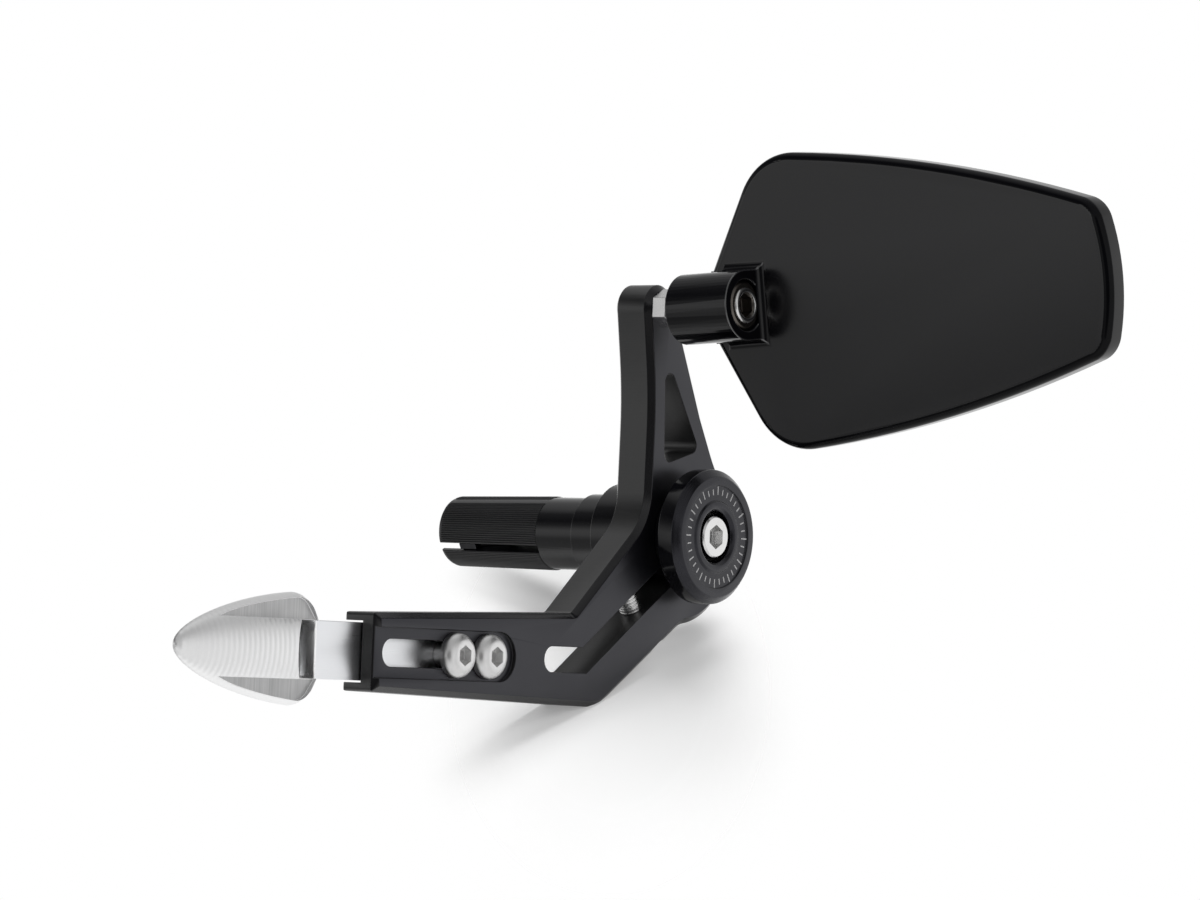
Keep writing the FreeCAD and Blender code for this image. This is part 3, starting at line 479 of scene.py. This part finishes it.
def grown(name, build, sizes, finish):
    """Piece whose mesh is made by a node tree with its named sizes as inputs."""
    tree = bpy.data.node_groups.new(name, "GeometryNodeTree")
    tree.interface.new_socket("Geometry", in_out="OUTPUT", socket_type="NodeSocketGeometry")
    asked = {}
    for label, amount in sizes.items():
        kind = "NodeSocketInt" if isinstance(amount, int) else "NodeSocketFloat"
        asked[label] = tree.interface.new_socket(label, in_out="INPUT", socket_type=kind)
    bench = Bench(tree)
    entry = bench.node("NodeGroupInput")
    inputs = bench.outputs(entry, *sizes)
    whole = bench.node("GeometryNodeRealizeInstances", sockets={0: build(bench, *inputs)})
    dressed = bench.node("GeometryNodeSetMaterial", sockets={"Geometry": whole, "Material": finish})
    bench.node("NodeGroupOutput", sockets={0: dressed})
    carrier = bpy.data.objects.new(name, bpy.data.meshes.new(name))
    scene.collection.objects.link(carrier)
    modifier = carrier.modifiers.new(name, "NODES")
    modifier.node_group = tree
    for label, amount in sizes.items():
        modifier[asked[label].identifier] = amount
    mesh = applied_mesh(carrier)
    carrier.modifiers.remove(modifier)
    carrier.data = mesh
    return carrier


def swept(bench, line, sides, radius):
    """Closed rod with a many-sided section along a line."""
    section = bench.node("GeometryNodeCurvePrimitiveCircle", {"mode": "RADIUS"}, {
        "Resolution": sides, "Radius": radius,
    })
    return bench.node("GeometryNodeCurveToMesh", sockets={
        "Curve": line, "Profile Curve": section, "Fill Caps": True,
    })


def finger_ribs(bench, ribs, margin, slot_turn, shoulder, end, front_radius, end_radius, depth):
    """Straight ribs on the fingers of the plug, none beside the slots."""
    quarter = math.tau / FINGERS
    index = bench.node("GeometryNodeInputIndex")
    finger = (index / ribs).floor()
    step = (index - finger * ribs + 0.5) / ribs
    angle = slot_turn + margin + finger * quarter + step * (quarter - 2 * margin)
    points = bench.node("GeometryNodePoints", sockets={"Count": ribs * FINGERS})
    spine = bench.node("GeometryNodeCurvePrimitiveLine", {"mode": "POINTS"}, {
        "Start": bench.vector(X=0 - shoulder, Y=front_radius),
        "End": bench.vector(X=0 - end, Y=end_radius),
    })
    return bench.node("GeometryNodeInstanceOnPoints", sockets={
        "Points": points,
        "Instance": swept(bench, spine, RIB_SIDES, depth),
        "Rotation": bench.vector(X=angle),
    })


def screw_thread(bench, turns, pitch, radius, depth):
    """Raised thread round the Z axis, from zero up."""
    line = bench.node("GeometryNodeCurveSpiral", sockets={
        "Resolution": THREAD_STEPS, "Rotations": turns, "Height": turns * pitch,
        "Start Radius": radius, "End Radius": radius,
    })
    return swept(bench, line, THREAD_SIDES, depth)


def dial_ticks(bench, ticks, inner, length, width, face, lift):
    """Plain ticks round the dial, some of them longer."""
    index = bench.node("GeometryNodeInputIndex")
    long_one = 1 - (index % LONG_TICK_EVERY).smaller(1)
    angle = index * (math.tau / ticks)
    foot = bench.vector(X=face, Y=inner * angle.cosine(), Z=inner * angle.sine())
    points = bench.node("GeometryNodePoints", sockets={"Count": ticks, "Position": foot})
    tick = bench.node("GeometryNodeMeshCube", sockets={
        "Size": bench.vector(X=lift * 2, Y=length, Z=width),
        "Vertices X": 2, "Vertices Y": 3, "Vertices Z": 2,
    })
    seated = bench.node("GeometryNodeTransform", sockets={
        "Geometry": tick, "Translation": bench.vector(Y=length / 2),
    })
    return bench.node("GeometryNodeInstanceOnPoints", sockets={
        "Points": points,
        "Instance": seated,
        "Rotation": bench.vector(X=angle),
        "Scale": bench.vector(X=1.0, Y=1 + long_one * LONG_TICK_EXTRA, Z=1.0),
    })


# Camera, light and floor

VIEW_AROUND, VIEW_ABOVE, VIEW_ROLL = 37.8654, -2.1921, 2.32
VIEW_RIGHT, VIEW_UP, VIEW_BACK = 1.4510, 20.3487, 1328.9
LENS, SENSOR = 165, 36
ROOM_LIGHT = (0.26, 0.26, 0.26)
WALL_STOPS = [(0.0, 1.0), (0.42, 1.0), (0.6, 0.64), (0.8, 0.85), (0.945, 0.8), (0.978, 0.08)]
RIGHT_DOME_STOPS = [(0.0, 1.0), (0.6, 1.0), (0.75, 0.6), (0.9, 0.5), (1.0, 0.75)]
LEFT_DOME_STOPS = [
    (0.0, 1.0), (0.06, 1.0), (0.2, 0.45), (0.38, 0.45), (0.47, 0.9), (0.55, 1.0),
    (0.66, 0.25), (0.74, 0.06), (0.85, 0.12), (0.93, 0.7), (1.0, 0.95),
]
LEFT_START, LEFT_FULL = 0.1, 0.65
FLOOR_DARK, FLOOR_LIGHT = (0.79, 0.79, 0.79), (0.81, 0.81, 0.81)
FLOOR_SEEN, FLOOR_IN_GLOSS = 0.26, 0.1
FLOOR_PLACE = (20.9, -18.4, -34.4)
FLOOR_FALL = math.radians(25.8)
FLOOR_REACH = 200 * MM
FADE_ACROSS, FADE_DEEP = 48 * MM, 125 * MM
FADE_START = 0.4


def photo_camera():
    """Long lens, slightly rolled and a little below the hub; gives its directions back and right."""
    around, above, roll = (math.radians(angle) for angle in (VIEW_AROUND, VIEW_ABOVE, VIEW_ROLL))
    side = Vector((math.cos(around), math.sin(around), 0))
    ahead = Vector((-math.sin(around), math.cos(around), 0))
    back = Vector((0, 0, math.sin(above))) - ahead * math.cos(above)
    top = back.cross(side)
    right = side * math.cos(roll) + top * math.sin(roll)
    up = top * math.cos(roll) - side * math.sin(roll)
    lens = bpy.data.cameras.new("photo_camera")
    lens.lens = LENS
    lens.sensor_width = SENSOR
    camera = bpy.data.objects.new("photo_camera", lens)
    camera.matrix_world = Matrix((right, up, back)).transposed().to_4x4()
    camera.matrix_world.translation = (right * VIEW_RIGHT + up * VIEW_UP + back * VIEW_BACK) * MM
    scene.collection.objects.link(camera)
    scene.camera = camera
    return back, right


def softbox(name, place, aim, width, height, power):
    """Area light, in metres and watts, that doesn't show in gloss."""
    lamp = bpy.data.lights.new(name, "AREA")
    lamp.shape = "RECTANGLE"
    lamp.size = width
    lamp.size_y = height
    lamp.energy = power
    stand = bpy.data.objects.new(name, lamp)
    stand.location = place
    stand.rotation_euler = (Vector(aim) - Vector(place)).to_track_quat("-Z", "Y").to_euler()
    stand.visible_glossy = False
    scene.collection.objects.link(stand)


def studio_room(back, right):
    """White where it is seen; in gloss it is darker overhead on the left and about the camera."""
    world = bpy.data.worlds.new("studio_room")
    world.use_nodes = True
    scene.world = world
    world.node_tree.nodes.clear()
    bench = Bench(world.node_tree)
    camera, glossy = bench.ray_kinds()
    direction = bench.node("ShaderNodeTexCoord", output="Generated")
    split = bench.node("ShaderNodeSeparateXYZ", sockets={"Vector": direction})
    height = bench.outputs(split, "Z")[0] * 0.5 + 0.5
    nearness, leftness = (
        bench.node("ShaderNodeVectorMath", {"operation": "DOT_PRODUCT"}, {0: direction, 1: axis}, "Value")
        for axis in (back, -right)
    )
    wall = bench.greys(nearness * 0.5 + 0.5, WALL_STOPS)
    right_dome = bench.greys(height, RIGHT_DOME_STOPS)
    left_dome = bench.greys(height, LEFT_DOME_STOPS)
    dome = bench.mix(bench.ease(leftness, LEFT_START, LEFT_FULL), right_dome, left_dome)
    room = bench.mix(1.0, wall, dome, "MULTIPLY")
    lit = bench.mix(glossy, ROOM_LIGHT, room)
    shown = bench.mix(camera, lit, WHITE)
    light = bench.node("ShaderNodeBackground", sockets={"Color": shown, "Strength": 1.0})
    bench.node("ShaderNodeOutputWorld", sockets={"Surface": light})


def pale_floor(back):
    """Pale floor that falls towards the camera, keeps the shadow and fades out round it."""
    finish = Finish("pale_floor", FLOOR_PLACE, (0, 0, VIEW_AROUND))
    across, deep = (place / reach for place, reach in zip(finish.axes(), (FADE_ACROSS, FADE_DEEP)))
    fade = finish.ease((across * across + deep * deep) ** 0.5, FADE_START, 1.0, 1.0, 0.0)
    paint = finish.even_grain(60, 2)
    camera, glossy = finish.ray_kinds()
    behind = finish.node("ShaderNodeNewGeometry", output="Backfacing")
    finish.set(
        Base_Color=finish.mix(paint, FLOOR_DARK, FLOOR_LIGHT),
        Roughness=0.9,
        Specular_IOR_Level=0.0,
        Emission_Color=finish.mix(camera * FLOOR_SEEN + glossy * FLOOR_IN_GLOSS, BLACK, WHITE),
        Emission_Strength=1.0,
        Alpha=fade * (1 - behind),
    )
    level = Vector((back.x, back.y, 0)).normalized()
    sideways = Vector((-level.y, level.x, 0))
    slope = level * math.cos(FLOOR_FALL) - Vector((0, 0, math.sin(FLOOR_FALL)))
    middle = Vector(FLOOR_PLACE) * MM
    corners = [
        middle + sideways * x * FLOOR_REACH + slope * y * FLOOR_REACH
        for x, y in ((-1, 1), (1, 1), (1, -1), (-1, -1))
    ]
    mesh = bpy.data.meshes.new("pale_floor")
    mesh.from_pydata([tuple(corner) for corner in corners], [], [(0, 1, 2, 3)])
    mesh.materials.append(finish.material)
    board = bpy.data.objects.new("pale_floor", mesh)
    scene.collection.objects.link(board)


scene.view_settings.view_transform = "Standard"
back, right = photo_camera()
studio_room(back, right)
pale_floor(back)
softbox("key_left", (-1.6, -1.5, 1.3), aim=(0, 0, 0), width=1.5, height=1.5, power=14)
softbox("fill_right", (1.6, -0.6, 0.9), aim=(0, 0, 0), width=1.2, height=1.6, power=8)
softbox("top", (0.05, 0.1, 1.6), aim=(0, -0.03, 0), width=0.9, height=0.9, power=17)

# Places on the pieces

BALL = (41.0, -11.7, 53.6)
MIRROR_TILT = (7.2, -3.1, 0)
TILT_X, TILT_Y = (math.radians(angle) for angle in MIRROR_TILT[:2])
MIRROR_TURN = Matrix.Rotation(TILT_X, 4, "X") @ Matrix.Rotation(TILT_Y, 4, "Y")
MIRROR_BACK = MIRROR_TURN @ Vector((0, 1, 0))
BARREL_REACH = 18
BACK_FACING, ROUND_FACING = 0.985, 0.15

SHOULDER_END = -11
HUB_FACE_FACING = 0.3

GUARD_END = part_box("guard_arm")[0][1] / MM
GUARD_MIDDLE = -30.55
GUARD_CORNER_HEIGHT = 8
NEAR = 0.05
ARM_BREAK, CORNER_CUT = 0.16, 0.9
PLATE_FACING, BEVEL_FACING = 0.9, 0.3

TIP_SCREWS = {"tip_screw_front": (26.1, -83.2, GUARD_MIDDLE), "tip_screw_rear": (26.1, -71.7, GUARD_MIDDLE)}
SHANK_FRONT, RAMP_FRONT, NOSE = -126.9, -139, -166
TIP_MIDDLE, POCKET_REACH, POCKET_FACING = 19.8, 2.5, 0.99
RAMP_FACING, RAMP_RISE = 0.5, 0.2
TIP_BREAK = 0.12

SLIT = math.radians(34.6)
THREAD_X, THREAD_ALONG, THREAD_RISE = 22, 20.8, -8.2
COLLAR_PROFILE = [
    (10.3, 4.3), (10.55, 4.28), (10.78, 4.14), (10.94, 3.9),
    (11.02, 3.6), (11.0, 3.3), (10.88, 3.1), (10.3, 3.06),
]

# Finishes in use

COOL = (0.89, 0.89, 1.0)
PLATE_LIGHT = (0.022, 0.022, 0.022)
POCKET_DARK, POCKET_LIGHT = (0.24, 0.24, 0.245), (0.72, 0.72, 0.72)
SHANK_DARK, SHANK_LIGHT = (0.80, 0.81, 0.83), (0.88, 0.89, 0.91)
# The adjuster head is coloured dark: painted shade of the bore it sits in
ADJUSTER_SHADE_DARK, ADJUSTER_SHADE_LIGHT = (0.10, 0.09, 0.08), (0.22, 0.2, 0.18)

PLATE_BLACK = milled_black("plate_black", (9, 9, 0.32), PLATE_LIGHT, depth=0.02, ior=1.72)
FACE_BLACK = milled_black("face_black", (6, 6, 6), ior=1.55, tint=COOL)
BEVEL_BLACK = turned_black("bevel_black", gloss=0.14)
MIRROR_BLACK = milled_black("mirror_black", (0.5, 0.5, 0.5), depth=0.002, gloss=0.13, ior=1.56)
# Painted highlight for the mirror body's broken edges
EDGE_HIGHLIGHT = painted_edge_highlight("edge_highlight_black")
HUB_BLACK = turned_black("hub_black", tint=COOL)
HUB_SIDE_BLACK = turned_black("hub_side_black", gloss=0.06, ior=1.45)
RIM_BLACK = turned_black("rim_black", BALL, MIRROR_TILT, gloss=0.04, ior=1.38)
ROUND_BLACK = turned_black("round_black", BALL, MIRROR_TILT, gloss=0.03, ior=1.2)
SHOULDER_BLACK = turned_black("shoulder_black", gloss=0.05, ior=1.6)
PLUG_BLACK = turned_black("plug_black", pitch=0.3, gloss=0.26, ior=1.72)
TIP_SILVER = ringed_silver("tip_silver")
POCKET_SILVER = brushed_silver(
    "pocket_silver", (5, 0.3, 30), POCKET_DARK, POCKET_LIGHT, dull=0.34, depth=0.008)
SHANK_SILVER = brushed_silver(
    "shank_silver", (12, 22, 0.15), SHANK_DARK, SHANK_LIGHT, dull=0.24, depth=0.0008)
RAMP_SILVER = brushed_silver("ramp_silver", (30, 0.25, 30), dull=0.12, depth=0.002)
ADJUSTER_SHADED_STEEL = stainless("adjuster_shaded_stainless", BALL, ADJUSTER_SHADE_DARK, ADJUSTER_SHADE_LIGHT, dull=0.26)


def mirror_finish(centre, normal):
    """Matt back, polished walls and barrel, and the deep black rounding between back and walls."""
    facing = abs(normal.dot(MIRROR_BACK))
    if facing > BACK_FACING:
        return MIRROR_BLACK
    beyond_barrel = (centre - Vector(BALL)).length > BARREL_REACH
    return ROUND_BLACK if beyond_barrel and facing > ROUND_FACING else RIM_BLACK


def sleeve_finish(centre, normal):
    """Polished shoulder, duller fingers."""
    return SHOULDER_BLACK if centre.x > SHOULDER_END else PLUG_BLACK


def hub_finish(centre, normal):
    """Satin faces, polished sides."""
    return HUB_BLACK if abs(normal.x) > HUB_FACE_FACING else HUB_SIDE_BLACK


def arm_finish(centre, normal):
    """Plain faces, milled sides and the bevels between them."""
    if abs(normal.x) > PLATE_FACING:
        return FACE_BLACK
    return BEVEL_BLACK if abs(normal.x) > BEVEL_FACING else PLATE_BLACK


def arm_breaks(start, end):
    """The two outer corners at the guard's open end are cut off; other edges are only broken."""
    at_end = max(start.y, end.y) < GUARD_END + NEAR
    outer = min(abs(start.z - GUARD_MIDDLE), abs(end.z - GUARD_MIDDLE)) > GUARD_CORNER_HEIGHT
    across = abs(start.z - end.z) < NEAR
    return CORNER_CUT if at_end and outer and across else ARM_BREAK


def tip_finish(centre, normal):
    """Smooth shank, polished ramp, brushed pockets and the ringed spear."""
    if centre.y > SHANK_FRONT:
        return SHANK_SILVER
    if centre.y > RAMP_FRONT and abs(normal.x) > RAMP_FACING and normal.y > RAMP_RISE:
        return RAMP_SILVER
    in_pocket = abs(normal.x) > POCKET_FACING and abs(centre.x - TIP_MIDDLE) < POCKET_REACH
    return POCKET_SILVER if in_pocket else TIP_SILVER


def tip_breaks(start, end):
    """The nose stays as it is; other edges are only broken."""
    return 0 if start.y < NOSE else TIP_BREAK


# Pieces

machined("guard_arm", "arm", "black_anodised", [PLATE_BLACK, FACE_BLACK, BEVEL_BLACK],
         edge=ARM_BREAK, choose=arm_finish, breaks=arm_breaks)
machined("hub_weight", "mount", "black_anodised", [HUB_BLACK, HUB_SIDE_BLACK], edge=0.2, choose=hub_finish)
machined("seat_ring", "mount", "black_anodised", [SHOULDER_BLACK], edge=0.12)
machined("clamp_spacer", "mount", "black_anodised", [SHOULDER_BLACK], edge=0.12)
machined("expander_sleeve", "mount", "black_anodised", [PLUG_BLACK, SHOULDER_BLACK],
         edge=0.12, choose=sleeve_finish)
# The mirror body's broken edges carry the painted highlight.
machined("mirror_body", "mirror", "black_anodised", [MIRROR_BLACK, RIM_BLACK, ROUND_BLACK],
         edge=0.3, choose=mirror_finish, trim=EDGE_HIGHLIGHT)
machined("guard_tip", "tip", "silver_aluminium", [TIP_SILVER, POCKET_SILVER, SHANK_SILVER, RAMP_SILVER],
         edge=TIP_BREAK, choose=tip_finish, breaks=tip_breaks)
machined("expander_bolt", "bolt", "stainless", [stainless("bolt_stainless")], edge=0.1)
for name, centre in TIP_SCREWS.items():
    machined(name, "tip", "stainless", [stainless(name + "_stainless", centre, dull=0.27)], edge=0.1)
machined("pinch_screw", "arm", "stainless", [stainless("pinch_stainless")], edge=0.1)
machined("ball_stud", "arm", "stainless", [stainless("stud_stainless", BALL)], edge=0.1)
machined("stud_nut", "arm", "stainless", [stainless("nut_stainless", BALL)], edge=0.1)
# Adjuster screw coloured dark as painted shade of its bore.
machined("adjuster_screw", "mirror", "stainless", [ADJUSTER_SHADED_STEEL], edge=0.1)
machined("expander_cone", "cone", "zinc_steel", [zinc_steel("cone_zinc")], edge=0.12)
machined("bolt_washer", "mount", "stainless", [stainless("washer_stainless")], edge=0.08)
machined("front_cup", "ball_front", "nylon", [moulded_nylon("cup_nylon")], edge=0)
machined("rear_cup", "ball_rear", "nylon", [moulded_nylon("rear_cup_nylon")], edge=0)
machined("mirror_glass", "mirror", "mirror", [silvered_glass("mirror_silver")], edge=0.15)
machined("glass_pad", "mirror", "pad", [foam_pad("pad_foam")], edge=0)

collar_seat = Matrix.Translation(Vector(BALL) * MM) @ MIRROR_TURN
collar_steel = stainless("collar_stainless", BALL, dull=0.1)
collar = turned_ring("adjuster_collar", COLLAR_PROFILE, collar_seat, collar_steel)
settle(collar, "mirror", "stainless")

ribs = grown("finger_ribs", finger_ribs, {
    "ribs": 21,
    "margin": 0.125,
    "slot turn": math.radians(29),
    "shoulder": 11.2 * MM,
    "end": 41.0 * MM,
    "front radius": 8.72 * MM,
    "end radius": 8.34 * MM,
    "depth": 0.25 * MM,
}, PLUG_BLACK)
settle(ribs, "mount", "black_anodised")

ticks = grown("dial_ticks", dial_ticks, {
    "ticks": 36,
    "inner": 10.0 * MM,
    "length": 1.4 * MM,
    "width": 0.32 * MM,
    "face": 36.8 * MM,
    "lift": 0.02 * MM,
}, white_ink("dial_ink"))
settle(ticks, "mount", "black_anodised")

thread = grown("pinch_thread", screw_thread, {
    "turns": 9.0,
    "pitch": 0.8 * MM,
    "radius": 2.42 * MM,
    "depth": 0.27 * MM,
}, stainless("thread_stainless"))
foot = Vector((
    THREAD_X,
    -(THREAD_ALONG * math.cos(SLIT) + THREAD_RISE * math.sin(SLIT)),
    THREAD_RISE * math.cos(SLIT) - THREAD_ALONG * math.sin(SLIT),
)) * MM
lean = Vector((0, -math.sin(SLIT), math.cos(SLIT)))
tilt = Vector((0, 0, 1)).rotation_difference(lean).to_matrix().to_4x4()
thread.data.transform(Matrix.Translation(foot) @ tilt)
settle(thread, "arm", "stainless")
